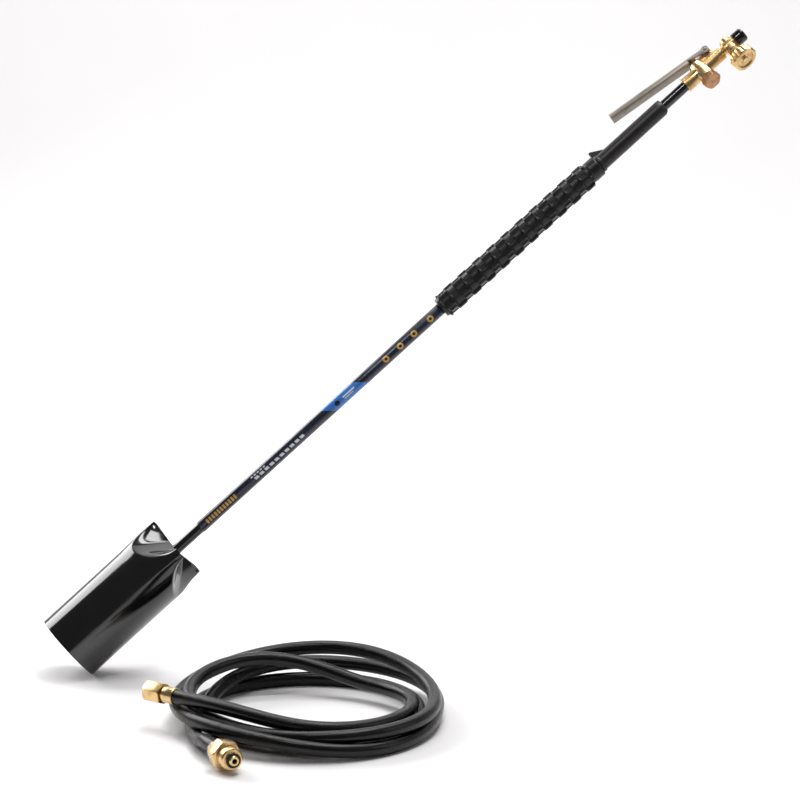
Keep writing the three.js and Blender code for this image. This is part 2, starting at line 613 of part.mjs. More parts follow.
/** Scalloped brass wheel with a recessed, ringed face and a hub for the stem. */
function controlKnob() {
  const shape = new THREE.Shape();
  const steps = KNOB_SCALLOPS * 8;
  for (let i = 0; i < steps; i += 1) {
    const angle = (i / steps) * 2 * Math.PI;
    const wave = Math.abs(Math.cos((angle * KNOB_SCALLOPS) / 2));
    const radius = KNOB_DIAMETER / 2 - KNOB_SCALLOP_DEPTH * (1 - Math.sqrt(wave));
    const [x, y] = [radius * Math.cos(angle), radius * Math.sin(angle)];
    if (i === 0) shape.moveTo(x, y);
    else shape.lineTo(x, y);
  }
  shape.closePath();
  const wheel = new THREE.ExtrudeGeometry(shape, { depth: KNOB_THICKNESS, bevelEnabled: false })
    .translate(0, 0, -KNOB_FACE);
  const rim = KNOB_DIAMETER / 2;
  const rounding = turnedUp([[-KNOB_FACE, 0], [-KNOB_FACE, rim - 1.4], [-KNOB_FACE + 1.2, rim + 0.1],
    [knobBack - 1.2, rim + 0.1], [knobBack, rim - 1.4], [knobBack, 0]], 0, 48);
  const recess = turnedUp([[-KNOB_FACE - 1, 0], [-KNOB_FACE - 1, KNOB_RECESS_DIAMETER / 2],
    [-KNOB_FACE + KNOB_RECESS_DEPTH, KNOB_RECESS_DIAMETER / 2 - 1],
    [-KNOB_FACE + KNOB_RECESS_DEPTH, 0]], 0, 40);
  const hub = turnedUp([[-KNOB_FACE + KNOB_RECESS_DEPTH - 0.2, 0],
    [-KNOB_FACE + 0.6, SCREW_HEAD / 2 + 1.6], [-KNOB_FACE + KNOB_RECESS_DEPTH + 1, SCREW_HEAD / 2 + 3],
    [-KNOB_FACE + KNOB_RECESS_DEPTH + 1, 0]], 0, 32);
  const stemHole = turnedUp(bar(knobBack - 3 - GAP, knobBack + 1, STEM_DIAMETER / 2 + GAP), 0, 20);
  const screwHole = turnedUp(bar(-KNOB_FACE - 1, knobBack, 1.6), 0, 16);
  const headSeat = turnedUp(bar(-KNOB_FACE - 1, -KNOB_FACE + 1.2 + GAP, SCREW_HEAD / 2 + GAP), 0, 24);
  const round = intersect(wheel, rounding);
  const solid = combine([combine([round], [recess]), hub], [stemHole, screwHole, headSeat]);
  return piece('control_knob', solid.translate(needleAt, 0, 0), brass);
}

function knobScrew() {
  const face = -KNOB_FACE - 0.4;
  const seat = -KNOB_FACE + 1.2;
  const head = turnedUp([[face, 0], [face, SCREW_HEAD / 2 - 0.8], [face + 0.6, SCREW_HEAD / 2],
    [seat, SCREW_HEAD / 2], [seat, 1.3], [knobBack - 3 - GAP, 1.3], [knobBack - 3 - GAP, 0]],
  needleAt, 24);
  const slotShape = new THREE.BoxGeometry(0.9, SCREW_HEAD + 1, 1).translate(needleAt, 0, face);
  return piece('knob_screw', combine([head], [slotShape]), brass);
}

function inletCap() {
  const inner = INLET_DIAMETER / 2 + GAP;
  const outer = inner + CAP_WALL;
  const start = blockEnd + GAP;
  const end = start + CAP_LENGTH;
  const roof = blockEnd + INLET_LENGTH + GAP;
  const profile = [[start, inner], [start, outer], [end - 2, outer], [end - 0.6, outer - 0.9],
    [end, outer - 2.6], [end, 0], [roof, 0], [roof, inner], [start, inner]];
  return piece('inlet_cap', turned(profile, 32), glossPlastic);
}

function wand() {
  const parts = new THREE.Group();
  parts.add(flameBell(), burnerJet(), gasTube(), labelSleeve(), rubberGrip(), handleSleeve());
  parts.add(squeezeValveBody(), plunger(), plungerSeal(), plungerSpring(), hexPlug());
  parts.add(lever(), leverPin());
  parts.add(needleValveBody(), packingNut(), needleStem(), controlKnob(), knobScrew(), inletCap());
  parts.position.x = -restAt;
  const rolled = new THREE.Group();
  rolled.rotation.x = -roll;
  rolled.position.z = GRIP_DIAMETER / 2;
  rolled.add(parts);
  const leaning = new THREE.Group();
  leaning.rotation.y = -lean;
  leaning.add(rolled);
  return leaning;
}

// ---- Hose ------------------------------------------------------------------------------
const hoseRadius = HOSE_DIAMETER / 2;
const coilHeight = COIL_LAYERS * HOSE_DIAMETER;

function hosePath(points) {
  return new THREE.CatmullRomCurve3(points.map(([x, y, z]) => new THREE.Vector3(x, y, z)),
    false, 'centripetal');
}

/** Plain eight-sided tube along points chosen by hand. */
function hoseTube(name, points) {
  const path = hosePath(points);
  const section = new THREE.Shape().absarc(0, 0, hoseRadius, 0, 2 * Math.PI);
  const steps = Math.ceil(path.getLength() / (2.2 * hoseRadius));
  const tube = new THREE.ExtrudeGeometry(section, { extrudePath: path, steps, curveSegments: 4 });
  return piece(name, tube, blackRubber);
}

/** Outer shape of the coiled turns. */
function hoseCoil() {
  const rounding = 5;
  const [inner, outer] = [COIL_RADIUS - COIL_BAND, COIL_RADIUS];
  const profile = [[0, inner + rounding], [0, outer - rounding], [rounding, outer],
    [coilHeight - rounding, outer], [coilHeight, outer - rounding],
    [coilHeight, inner + rounding], [coilHeight - rounding, inner], [rounding, inner],
    [0, inner + rounding]];
  return piece('hose_coil', turnedUp(profile, 0, 48).scale(1, COIL_STRETCH, 1), blackRubber);
}

// The loose top turn: from the wand-end fitting, over the coil's left side and along its
// front, to a foot that stands on the coil.
const lying = coilHeight + hoseRadius;
const leadPoints = [[-135.5, -12.4, lying + 1.5], [-104, -49, lying + 1.5],
  [-72, -89, lying + 1.3], [-38, -119, lying + 1], [5, -131, lying + 1],
  [50, -122, lying + 2.5], [82, -98, lying + 8], [101, -74, lying + 14],
  [111, -54, lying + 14], [114, -48, lying + 6], [114, -48, lying],
  [114, -48, coilHeight + 0.4]];
// The bottom turn's end: from the coil's outer wall to the cylinder-end fitting.
const tailPoints = [[-109.4, -80.5, 14], [-112.3, -82.7, 14.2], [-116, -86.5, 14.5],
  [-118.3, -94, 14.8], [-117.6, -104, 15], [-114.7, -116, 15]];

/** Group whose +Z runs out of a hose's end, with its origin at the hose's end face. */
function fittingGroup(points, atStart) {
  const path = hosePath(points);
  const group = new THREE.Group();
  const outward = path.getTangent(atStart ? 0 : 1).multiplyScalar(atStart ? -1 : 1);
  group.position.copy(path.getPoint(atStart ? 0 : 1));
  group.quaternion.setFromUnitVectors(new THREE.Vector3(0, 0, 1), outward);
  return group;
}

function ferruleProfile() {
  const outer = FERRULE_DIAMETER / 2;
  return [[GAP, HOSE_BORE / 2], [GAP, outer - 0.5], [GAP + 0.8, outer],
    [FERRULE_LENGTH - 1, outer], [FERRULE_LENGTH, outer - 1],
    [FERRULE_LENGTH, HOSE_BORE / 2], [GAP, HOSE_BORE / 2]];
}

function ferrule(name, material) {
  return piece(name, turnedUp(ferruleProfile(), 0, 32), material);
}

const barbRadius = HOSE_BORE / 2 - GAP;
const nippleBore = GAS_BORE / 2 - 0.4;
const swivelStart = FERRULE_LENGTH + 1.5;
const swivelEnd = swivelStart + SWIVEL_LENGTH;
const swivelBackWall = 4;

/** Brass insert at the wand end: barb, shoulder and the cone that seals on the inlet. */
function outletNipple() {
  const neck = 5;
  const collarFrom = swivelStart + swivelBackWall + GAP;
  const cone = INLET_DIAMETER / 2 - 1.2;
  const tip = collarFrom + 5;
  const profile = [[GAP, nippleBore], [GAP, barbRadius], [FERRULE_LENGTH + GAP, barbRadius],
    [FERRULE_LENGTH + GAP, neck], [collarFrom, neck], [collarFrom, cone],
    [collarFrom + 2, cone], [tip, nippleBore + 0.8], [tip, nippleBore], [GAP, nippleBore]];
  return piece('outlet_nipple', turnedUp(profile, 0, 28), brass);
}

function swivelNut() {
  const nut = hexagon(SWIVEL_ACROSS, swivelStart, swivelEnd, 1.2);
  const neckHole = turnedUp(bar(swivelStart - 1, swivelEnd, 5 + GAP), 0, 24);
  const socket = turnedUp(bar(swivelStart + swivelBackWall, swivelEnd + 1,
    INLET_DIAMETER / 2 + GAP), 0, 32);
  return piece('swivel_nut', combine([nut], [neckHole, socket]), brass);
}

const tankNutStart = FERRULE_LENGTH + 1;
const tankNutEnd = tankNutStart + TANK_NUT_LENGTH;
const threadEnd = tankNutEnd + TANK_THREAD_LENGTH;
const tankBore = NOSE_DIAMETER / 2 - 2.4;

/** Hex nut with a left-hand male thread that screws into the cylinder's valve. */
function tankNut() {
  const hex = hexagon(TANK_NUT_ACROSS, tankNutStart, tankNutEnd, 1.6);
  const outer = TANK_THREAD_DIAMETER / 2;
  const thread = turnedUp([[tankNutEnd - 2, 0], [tankNutEnd - 2, outer - 1.2],
    [tankNutEnd + 1.5, outer - 1.2], [tankNutEnd + 1.8, outer], [threadEnd - 1.4, outer],
    [threadEnd, outer - 1.4], [threadEnd, 0]], 0, 36);
  const bore = turnedUp(bar(tankNutStart - 1, threadEnd + 1, tankBore + GAP), 0, 28);
  return piece('tank_nut', combine([hex, thread], [bore]), brass);
}

/** Brass insert at the cylinder end: barb, shank through the nut, and sealing nose. */
function tankNipple() {
  const nose = NOSE_DIAMETER / 2;
  const noseStart = threadEnd + GAP;
  const end = noseStart + NOSE_REACH;
  const groove = nose - 2.2;
  const hole = NOSE_HOLE / 2;
  const profile = [[GAP, nippleBore], [GAP, barbRadius], [FERRULE_LENGTH + GAP, barbRadius],
    [FERRULE_LENGTH + GAP, tankBore], [noseStart, tankBore], [noseStart, nose],
    [noseStart + 0.8, nose], [noseStart + 0.8, groove], [noseStart + 3.2, groove],
    [end, groove - 1], [end, hole], [noseStart, nippleBore], [GAP, nippleBore]];
  return piece('tank_nipple', turnedUp(profile, 0, 32), brass);
}

function tankSeal() {
  const inner = NOSE_DIAMETER / 2 - 2.2 + 0.2;
  const from = threadEnd + GAP + 0.8 + 0.2;
  const profile = ring(from, from + 1.9, inner, NOSE_DIAMETER / 2 - 0.2);
  return piece('tank_seal', turnedUp(profile, 0, 32), sealRubber);
}

function hose() {
  const group = new THREE.Group();
  group.add(hoseCoil(), hoseTube('hose_lead', leadPoints), hoseTube('hose_tail', tailPoints));
  const wandEnd = fittingGroup(leadPoints, true);
  wandEnd.add(ferrule('outlet_ferrule', brass), outletNipple(), swivelNut());
  const tankEnd = fittingGroup(tailPoints, false);
  tankEnd.add(ferrule('tank_ferrule', nickel), tankNipple(), tankNut(), tankSeal());
  group.add(wandEnd, tankEnd);
  const alongWand = restAt * Math.sin(lean);
  const floor = GRIP_DIAMETER / 2 * Math.cos(lean) - alongWand - bellRadius * Math.cos(lean);
  group.position.set(COIL_CENTRE_X, COIL_CENTRE_Y, floor);
  return group;
}

const group = new THREE.Group();
group.add(wand(), hose());
export default group;
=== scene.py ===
"""Looks of the propane torch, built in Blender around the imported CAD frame.

The wand stands on the point of its grip that rests on a support, with its coiled gas hose
lying beside it. The CAD nodes give every place; this script adds the finer surfaces, the
materials, the hose that replaces the CAD coil, the studio and the camera.
"""

import json
import logging
import math
from dataclasses import dataclass
from enum import Enum
from typing import Sequence

import bmesh
import bpy
import numpy as np
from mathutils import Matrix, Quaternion, Vector


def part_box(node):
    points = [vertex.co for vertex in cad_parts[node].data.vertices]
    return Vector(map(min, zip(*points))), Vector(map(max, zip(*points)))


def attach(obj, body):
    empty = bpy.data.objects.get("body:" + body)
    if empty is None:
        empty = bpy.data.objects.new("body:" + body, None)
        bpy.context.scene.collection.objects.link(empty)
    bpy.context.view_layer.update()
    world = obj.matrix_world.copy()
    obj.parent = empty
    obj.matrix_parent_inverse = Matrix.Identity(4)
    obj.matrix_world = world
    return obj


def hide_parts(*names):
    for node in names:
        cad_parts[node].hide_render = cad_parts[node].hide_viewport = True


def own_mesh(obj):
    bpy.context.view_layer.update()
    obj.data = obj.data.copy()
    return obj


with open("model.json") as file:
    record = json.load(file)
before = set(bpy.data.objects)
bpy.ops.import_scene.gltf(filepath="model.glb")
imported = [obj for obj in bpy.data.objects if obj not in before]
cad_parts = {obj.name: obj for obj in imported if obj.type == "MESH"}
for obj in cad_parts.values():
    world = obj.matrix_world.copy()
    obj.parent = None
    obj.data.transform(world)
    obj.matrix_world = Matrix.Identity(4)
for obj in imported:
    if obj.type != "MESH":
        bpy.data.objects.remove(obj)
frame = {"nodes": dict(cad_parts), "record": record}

LOG = logging.getLogger("torch")
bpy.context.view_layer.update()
MM = 0.001

Profile = Sequence[tuple[float, float]]


class Slot(str, Enum):
    """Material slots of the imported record."""

    BLACK_PAINT = "black_paint"
    PRINTED_SLEEVE = "printed_sleeve"
    GRIP_RUBBER = "grip_rubber"
    HANDLE_PLASTIC = "handle_plastic"
    BRASS = "brass"
    PLUG_BRASS = "plug_brass"
    LEVER_NICKEL = "lever_nickel"
    STEEL = "steel"
    CAP_PLASTIC = "cap_plastic"
    HOSE_RUBBER = "hose_rubber"
    FERRULE_NICKEL = "ferrule_nickel"
    SEAL_RUBBER = "seal_rubber"


# ---- Sizes that repeat the CAD's, in millimetres --------------------------------------------
LEAN = math.radians(40.8)
ROLL = math.radians(55)
REST_AT = 580.0
BELL_LENGTH = 150.0
BELL_RADIUS = 37.3
BELL_WALL = 1.3
CRIMP_DEPTH = 33.0
EAR_DEPTH = 3.0
TONGUE_WIDTH = 16.0
TONGUE_RADIUS = 7.15
EAR_OVERHANG = 3.0
EAR_ANGLE = math.radians(17)
EAR_HALF_ANGLE = math.radians(9.5)
TUBE_START, TUBE_END = 108.0, 875.0
TUBE_RADIUS = 5.55
TUBE_BORE_RADIUS = 4.05
LABEL_START, LABEL_END = 184.0, 520.7
SLEEVE_BORE = 5.85
LABEL_RADIUS = 6.35
GRIP_START, GRIP_END = 521.0, 742.7
GRIP_RADIUS = 13.5
HANDLE_START, HANDLE_LENGTH = 743.0, 91.0
HANDLE_RADIUS = 8.7
HORN_REACH = 18.0
HORN_LENGTH = 15.0
HORN_WIDTH = 7.0
HOSE_DIAMETER = 14.0
COIL_CENTRE = (-235.0, -214.0)
FACING_VIEW = math.radians(218.2)
SPRING_FOOT = -17.3  # the spring's end on the plug, below the wand's axis


@dataclass(frozen=True)
class WandFrame:
    """The wand's own axes in the row frame: along, across, and up on the lever side."""

    along: np.ndarray
    across: np.ndarray
    lever: np.ndarray
    origin: np.ndarray

    @classmethod
    def from_angles(cls, lean: float, roll: float) -> "WandFrame":
        """Works the axes out from the lean off the floor and the roll about the wand.

        Args:
            lean: Angle between the wand and the floor, in radians.
            roll: Angle that the lever leans back from straight up, in radians.

        Returns:
            The wand's frame, whose origin is on its axis over the resting point.
        """
        along = np.array([math.cos(lean), 0.0, math.sin(lean)])
        normal = np.array([-math.sin(lean), 0.0, math.cos(lean)])
        side = np.array([0.0, 1.0, 0.0])
        across = side * math.cos(roll) - normal * math.sin(roll)
        lever = normal * math.cos(roll) + side * math.sin(roll)
        return cls(along, across, lever, normal * GRIP_RADIUS)

    def place(self, local: np.ndarray) -> np.ndarray:
        """Moves points from the wand's frame to the row frame.

        Args:
            local: Array of (along from the bell's mouth, across, up) in millimetres.

        Returns:
            Array of the same shape in the row frame, in metres.
        """
        moved = (local[..., :1] - REST_AT) * self.along + local[..., 1:2] * self.across
        return (moved + local[..., 2:3] * self.lever + self.origin) * MM


WAND = WandFrame.from_angles(LEAN, ROLL)


# ---- Mesh building ---------------------------------------------------------------------------
def new_object(name: str, mesh: bpy.types.Mesh) -> bpy.types.Object:
    """Links a mesh as a new object at the origin.

    Args:
        name: Name of the piece.
        mesh: Its mesh, in the row frame.

    Returns:
        The linked object.
    """
    piece = bpy.data.objects.new(name, mesh)
    bpy.context.scene.collection.objects.link(piece)
    return piece


def soften(mesh: bpy.types.Mesh, sharp_angle: float) -> None:
    """Shades a mesh smooth, apart from edges sharper than an angle.

    Args:
        mesh: Mesh to shade.
        sharp_angle: Angle in degrees past which an edge stays sharp.
    """
    mesh.polygons.foreach_set("use_smooth", np.ones(len(mesh.polygons), bool))
    mesh.set_sharp_from_angle(angle=math.radians(sharp_angle))


def signed_volume(points: np.ndarray, quads: np.ndarray) -> float:
    """Six times the volume that a closed quad mesh holds, negative if it is inside out."""
    a, b, c, d = (points[quads[:, k]] for k in range(4))
    first = np.einsum("ij,ij->i", a, np.cross(b, c))
    second = np.einsum("ij,ij->i", a, np.cross(c, d))
    return float((first + second).sum())


def grid_piece(
    name: str,
    grid: np.ndarray,
    along: np.ndarray,
    around: np.ndarray,
    sharp_angle: float = 40.0,
    capped: bool = False,
) -> bpy.types.Object:
    """Skins a grid of points that closes on itself both ways, or is a tube with flat ends.

    Args:
        name: Name of the piece.
        grid: Points in the row frame in metres, rows by columns by 3.
        along: UV value of each row, and one more for the row that closes the grid.
        around: UV value of each column, and one more for the column that closes the grid.
        sharp_angle: Angle in degrees past which an edge stays sharp.
        capped: True for a tube whose first and last rows are filled, not joined.

    Returns:
        The new object, with its UV map in millimetres around and along.
    """
    rows, columns = grid.shape[:2]
    bands = rows - 1 if capped else rows
    row, column = np.meshgrid(np.arange(bands), np.arange(columns), indexing="ij")
    next_row, next_column = (row + 1) % rows, (column + 1) % columns
    corners = [(row, column), (row, next_column), (next_row, next_column), (next_row, column)]
    quads = np.stack([r * columns + c for r, c in corners], -1).reshape(-1, 4)
    points = grid.reshape(-1, 3)
    steps = [(row, column), (row, column + 1), (row + 1, column + 1), (row + 1, column)]
    uv = np.stack([np.stack([around[c], along[r]], -1) for r, c in steps], -2).reshape(-1, 4, 2)
    ends = np.array([np.arange(columns)[::-1], np.arange(columns) + (rows - 1) * columns])
    if signed_volume(points, quads) < 0:
        quads, uv, ends = quads[:, ::-1], uv[:, ::-1], ends[:, ::-1]
    mesh = bpy.data.meshes.new(name)
    mesh.from_pydata(points.tolist(), [], quads.tolist() + (ends.tolist() if capped else []))
    layer = mesh.uv_layers.new(name="UVMap")
    values = np.zeros((len(mesh.loops), 2), np.float32)
    values[: uv.shape[0] * 4] = uv.reshape(-1, 2)
    layer.data.foreach_set("uv", values.ravel())
    soften(mesh, sharp_angle)
    return new_object(name, mesh)


def lathe(name: str, profile: Profile, segments: int = 96) -> bpy.types.Object:
    """Turns a closed profile round the wand's axis.

    Args:
        name: Name of the piece.
        profile: (along, radius) corners in millimetres; the last joins the first.
        segments: Number of columns round the axis.

    Returns:
        The new piece, with UV in millimetres, and 0 around where it faces the camera.
    """
    corners = np.array(profile, float)
    angle = np.linspace(0, 2 * math.pi, segments, endpoint=False) + FACING_VIEW + math.pi
    local = np.stack(
        [
            np.broadcast_to(corners[:, :1], (len(corners), segments)),
            corners[:, 1:] * np.cos(angle),
            corners[:, 1:] * np.sin(angle),
        ],
        -1,
    )
    widest = corners[:, 1].max()
    around = (np.arange(segments + 1) / segments - 0.5) * 2 * math.pi * widest
    return grid_piece(name, WAND.place(local), np.append(corners[:, 0], corners[0, 0]), around)


def refined(node: str, body: str, edge: float = 0.25) -> bpy.types.Object:
    """Copies a CAD node as a piece with merged faces, rounded edges and smooth shading.

    Args:
        node: CAD node that the copy stands for.
        body: Body that the piece moves with.
        edge: Radius of the rounded edges, in millimetres.

    Returns:
        The new piece.
    """
    source = frame["nodes"][node].data
    work = bmesh.new()
    work.from_mesh(source)
    bmesh.ops.remove_doubles(work, verts=work.verts, dist=1e-6)
    bmesh.ops.dissolve_limit(
        work, angle_limit=math.radians(1), verts=work.verts, edges=work.edges
    )
    sharp = [e for e in work.edges if e.is_manifold and e.calc_face_angle(0) > math.radians(32)]
    bmesh.ops.bevel(
        work, geom=sharp, offset=edge * MM, segments=2, profile=0.5,
        affect="EDGES", clamp_overlap=True,
    )
    mesh = bpy.data.meshes.new(node + "_fine")
    work.to_mesh(mesh)
    work.free()
    soften(mesh, 50)
    piece = new_object(node + "_fine", mesh)
    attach(piece, body)
    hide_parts(node)
    return piece


# ---- Shader building -------------------------------------------------------------------------
class Sheet:
    """A node tree with short calls to add and link nodes."""

    def __init__(self, tree: bpy.types.NodeTree) -> None:
        self.tree = tree

    def add(self, kind: str, **settings: object) -> bpy.types.Node:
        """Adds a node.

        Args:
            kind: Node type without the ShaderNode prefix.
            **settings: Values of the node's own properties.

        Returns:
            The new node.
        """
        node = self.tree.nodes.new("ShaderNode" + kind)
        for key, value in settings.items():
            setattr(node, key, value)
        return node

    def join(self, value: object, socket: bpy.types.NodeSocket) -> None:
        """Links a socket to an input, or sets a constant directly on it."""
        if isinstance(value, bpy.types.NodeSocket):
            self.tree.links.new(value, socket)
        else:
            socket.default_value = value

    def maths(self, operation: str, *values: object) -> bpy.types.NodeSocket:
        """One Math node's result."""
        node = self.add("Math", operation=operation)
        for value, socket in zip(values, node.inputs):
            self.join(value, socket)
        return node.outputs[0]

    def ramp(self, value: object, low: float, high: float, to: tuple[float, float] = (0, 1)):
        """A smooth step of a value from one range to another."""
        node = self.add("MapRange", interpolation_type="SMOOTHSTEP")
        for number, socket in zip((value, low, high, *to), node.inputs):
            self.join(number, socket)
        return node.outputs[0]

    def mix(self, share: object, first: object, second: object) -> bpy.types.NodeSocket:
        """A colour mix."""
        node = self.add("Mix", data_type="RGBA")
        for value, socket in ((share, 0), (first, 6), (second, 7)):
            self.join(value, node.inputs[socket])
        return node.outputs[2]

    def noise(self, where: object, scale: float, detail: float = 3) -> bpy.types.NodeSocket:
        """Noise of a number of waves per metre, or per unit of the coordinate."""
        node = self.add("TexNoise")
        self.join(where, node.inputs["Vector"])
        node.inputs["Scale"].default_value = scale
        node.inputs["Detail"].default_value = detail
        return node.outputs[0]

    def bump(self, height: object, distance: float, strength: float = 1.0, normal: object = None):
        """A bumped normal from a height of 0 to 1 that stands for a distance in metres."""
        node = self.add("Bump")
        node.inputs["Strength"].default_value = strength
        node.inputs["Distance"].default_value = distance
        self.join(height, node.inputs["Height"])
        if normal is not None:
            self.join(normal, node.inputs["Normal"])
        return node.outputs[0]

    def place(self) -> bpy.types.NodeSocket:
        """Object coordinates, which are the row frame's."""
        return self.add("TexCoord").outputs["Object"]

    def uv(self) -> tuple[bpy.types.NodeSocket, bpy.types.NodeSocket]:
        """Millimetres around and along a grid piece."""
        parts = self.add("SeparateXYZ")
        self.join(self.add("TexCoord").outputs["UV"], parts.inputs[0])
        return parts.outputs[0], parts.outputs[1]


def linear(code: str) -> tuple[float, float, float, float]:
    """Linear colour of a #rrggbb code."""
    parts = np.array([int(code[k : k + 2], 16) / 255 for k in (1, 3, 5)])
    low, high = parts / 12.92, ((parts + 0.055) / 1.055) ** 2.4
    return (*np.where(parts <= 0.04045, low, high).tolist(), 1.0)


@dataclass(frozen=True)
class Finish:
    """How a material looks: colours, gloss, and the grain of its surface."""

    slot: Slot
    colour: str
    worn: str
    roughness: float
    metallic: float = 0.0
    spread: float = 0.06
    grain: float = 900.0
    depth: float = 0.00003
    coat: float = 0.0
    patches: float = 30.0
    shine: float = 0.5


FINISHES = (
    Finish(Slot.BLACK_PAINT, "#060607", "#0c0c0e", 0.1, spread=0.05, grain=500, depth=0.000006,
           shine=0.9),
    Finish(Slot.HANDLE_PLASTIC, "#130f11", "#1b1719", 0.38, grain=1800, depth=0.00004),
    Finish(Slot.BRASS, "#dfc08c", "#c39e66", 0.26, metallic=1.0, spread=0.12, grain=700,
           depth=0.00001, patches=90),
    Finish(Slot.PLUG_BRASS, "#b98e6a", "#98704f", 0.34, metallic=1.0, spread=0.1, grain=900,
           depth=0.00002, patches=110),
    Finish(Slot.LEVER_NICKEL, "#a0978d", "#837b73", 0.42, metallic=0.45, spread=0.08, grain=1200,
           depth=0.00003, patches=40),
    Finish(Slot.STEEL, "#9a9a9e", "#6f6f74", 0.32, metallic=1.0),
    Finish(Slot.CAP_PLASTIC, "#070708", "#0d0d0f", 0.12, grain=400, depth=0.000006, coat=0.6),
    Finish(Slot.FERRULE_NICKEL, "#d8d0c4", "#b3a898", 0.24, metallic=1.0, spread=0.08, grain=900,
           depth=0.00002, patches=80),
    Finish(Slot.SEAL_RUBBER, "#08080a", "#101011", 0.6, grain=1500),
)


def surface_group() -> bpy.types.NodeTree:
    """Shared group: patchy colour, roughness spread and a fine grain normal.

    Returns:
        The group, which gives a colour, a roughness and a normal.
    """
    tree = bpy.data.node_groups.new("surface_detail", "ShaderNodeTree")
    face = tree.interface
    for name, kind in (("Colour", "NodeSocketColor"), ("Worn", "NodeSocketColor"),
                       ("Roughness", "NodeSocketFloat"), ("Spread", "NodeSocketFloat"),
                       ("Patches", "NodeSocketFloat"), ("Grain", "NodeSocketFloat"),
                       ("Depth", "NodeSocketFloat")):
        face.new_socket(name, in_out="INPUT", socket_type=kind)
    for name, kind in (("Colour", "NodeSocketColor"), ("Roughness", "NodeSocketFloat"),
                       ("Normal", "NodeSocketVector")):
        face.new_socket(name, in_out="OUTPUT", socket_type=kind)
    sheet = Sheet(tree)
    given = tree.nodes.new("NodeGroupInput").outputs
    result = tree.nodes.new("NodeGroupOutput").inputs
    place = sheet.place()
    patches = sheet.noise(place, 1.0)
    sheet.join(given["Patches"], patches.node.inputs["Scale"])
    share = sheet.ramp(patches, 0.42, 0.72)
    sheet.join(sheet.mix(share, given["Colour"], given["Worn"]), result["Colour"])
    fine = sheet.noise(place, 1.0, 5)
    sheet.join(given["Grain"], fine.node.inputs["Scale"])
    wobble = sheet.maths("MULTIPLY", sheet.maths("SUBTRACT", fine, 0.5), given["Spread"])
    smear = sheet.maths("MULTIPLY", share, given["Spread"])
    rough = sheet.maths("ADD", sheet.maths("ADD", given["Roughness"], wobble), smear)
    sheet.join(rough, result["Roughness"])
    normal = sheet.bump(fine, 1.0, 1.0)
    sheet.join(given["Depth"], normal.node.inputs["Distance"])
    sheet.join(normal, result["Normal"])
    return tree


def principled(name: str) -> tuple[bpy.types.Material, Sheet, bpy.types.NodeInputs]:
    """A new material with an empty Principled surface, which remembers its slot."""
    material = bpy.data.materials.new("torch_" + name)
    material["slot"] = name
    material.use_nodes = True
    shader = next(n for n in material.node_tree.nodes if n.type == "BSDF_PRINCIPLED")
    return material, Sheet(material.node_tree), shader.inputs


class Materials:
    """All the part's materials, one for each slot."""

    def __init__(self) -> None:
        self.detail = surface_group()
        self.made = {finish.slot: self.plain(finish) for finish in FINISHES}
        self.made[Slot.HOSE_RUBBER] = self.hose()
        self.made[Slot.GRIP_RUBBER] = self.grip()
        self.made[Slot.PRINTED_SLEEVE] = self.printed()

    def surface(
        self, sheet: Sheet, inputs: bpy.types.NodeInputs, finish: Finish
    ) -> bpy.types.NodeOutputs:
        """Adds the shared surface group to a material and links roughness and normal."""
        node = sheet.add("Group", node_tree=self.detail)
        values = {
            "Colour": linear(finish.colour), "Worn": linear(finish.worn),
            "Roughness": finish.roughness, "Spread": finish.spread,
            "Patches": finish.patches, "Grain": finish.grain, "Depth": finish.depth,
        }
        for key, value in values.items():
            sheet.join(value, node.inputs[key])
        sheet.join(node.outputs["Colour"], inputs["Base Color"])
        sheet.join(node.outputs["Roughness"], inputs["Roughness"])
        sheet.join(node.outputs["Normal"], inputs["Normal"])
        inputs["Metallic"].default_value = finish.metallic
        inputs["Coat Weight"].default_value = finish.coat
        inputs["Specular IOR Level"].default_value = finish.shine
        inputs["Coat Roughness"].default_value = 0.05
        return node.outputs

    def plain(self, finish: Finish) -> bpy.types.Material:
        """A material that needs only the shared surface group."""
        material, sheet, inputs = principled(finish.slot.value)
        self.surface(sheet, inputs, finish)
        return material

    def hose(self) -> bpy.types.Material:
        """Satin black rubber with fine ribs around the hose."""
        finish = Finish(Slot.HOSE_RUBBER, "#040303", "#090707", 0.22, spread=0.1, grain=1500,
                        shine=0.38)
        material, sheet, inputs = principled(finish.slot.value)
        given = self.surface(sheet, inputs, finish)
        around, along = sheet.uv()
        turn = sheet.maths("MULTIPLY", along, 2 * math.pi / 2.2)
        twist = sheet.maths("MULTIPLY", around, 1 / (HOSE_DIAMETER / 2))
        rib = sheet.maths("SINE", sheet.maths("ADD", turn, twist))
        height = sheet.ramp(rib, -0.7, 0.9)
        sheet.join(sheet.bump(height, 0.00022, 0.8, given["Normal"]), inputs["Normal"])
        return material

    def grip(self) -> bpy.types.Material:
        """Matte black rubber with a patchy tone."""
        finish = Finish(Slot.GRIP_RUBBER, "#0b0909", "#141112", 0.38, spread=0.14, grain=2600,
                        depth=0.00006, patches=60)
        material, sheet, inputs = principled(finish.slot.value)
        self.surface(sheet, inputs, finish)
        return material

    def printed(self) -> bpy.types.Material:
        """Navy sleeve with plain generic marks printed on the side that faces the camera."""
        finish = Finish(Slot.PRINTED_SLEEVE, "#1b2030", "#222839", 0.26, grain=700,
                        depth=0.00001, coat=0.4)
        material, sheet, inputs = principled(finish.slot.value)
        given = self.surface(sheet, inputs, finish)
        around, along = sheet.uv()
        colour = given["Colour"]
        for mark in print_marks():
            shade = mark.mask(sheet, around, along)
            colour = sheet.mix(shade, colour, linear(mark.colour))
        sheet.join(colour, inputs["Base Color"])
        return material


